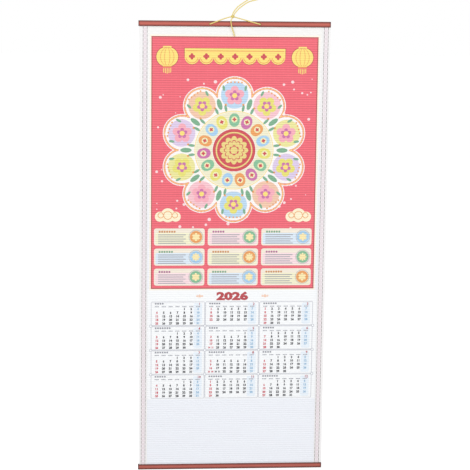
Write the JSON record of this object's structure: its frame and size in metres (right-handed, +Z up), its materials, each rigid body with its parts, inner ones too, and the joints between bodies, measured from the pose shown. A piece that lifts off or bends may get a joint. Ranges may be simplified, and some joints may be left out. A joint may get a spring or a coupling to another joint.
{
  "type": "wall calendar",
  "caption": "Hanging wall calendar: a printed mat of cane slats held in slotted rods at top and bottom, with edging tapes and a knotted hanging cord.",
  "frame": {"origin": "middle of the top rod's flat back, where the calendar meets the wall", "axes": "+X along the rods to the viewer's right, +Z up along the mat, the printed front faces -Y"},
  "size_m": [0.32, 0.0087, 0.8186],
  "materials": {
    "rods": "extruded red-brown plastic, satin",
    "mat": "white printed paper canes",
    "edging": "white woven ribbon with a fret band",
    "gold_cord": "twisted metallic gold thread",
    "red_ink": "coral red print",
    "crimson_ink": "red print",
    "yellow_ink": "warm yellow print",
    "lemon_ink": "lemon yellow print",
    "cream_ink": "cream print",
    "white_ink": "white print",
    "pink_ink": "pink print",
    "rose_ink": "rose print",
    "orange_ink": "orange print",
    "green_ink": "green print",
    "blue_ink": "light blue print",
    "grey_ink": "pale grey print for the rows of dates"
  },
  "bodies": {
    "root": {"bottom_rod": "rods", "cane_mat": "mat", "cord_knot": "gold_cord", "cord_loop": "gold_cord", "cord_tail": "gold_cord", "hanging_cord": "gold_cord", "left_edging_tape": "edging", "print_blue_petals": "blue_ink", "print_cards": "cream_ink", "print_clouds": "cream_ink", "print_date_blocks": "grey_ink", "print_garland": "yellow_ink", "print_gold_ring": "yellow_ink", "print_green_petals": "green_ink", "print_lanterns": "yellow_ink", "print_lemon_petals": "lemon_ink", "print_orange_petals": "orange_ink", "print_pink_blossoms": "pink_ink", "print_red_hub": "crimson_ink", "print_red_panel": "red_ink", "print_rose_petals": "rose_ink", "print_rosette": "white_ink", "print_yellow_blossoms": "lemon_ink", "right_edging_tape": "edging", "top_rod": "rods"}
  },
  "joints": []
}
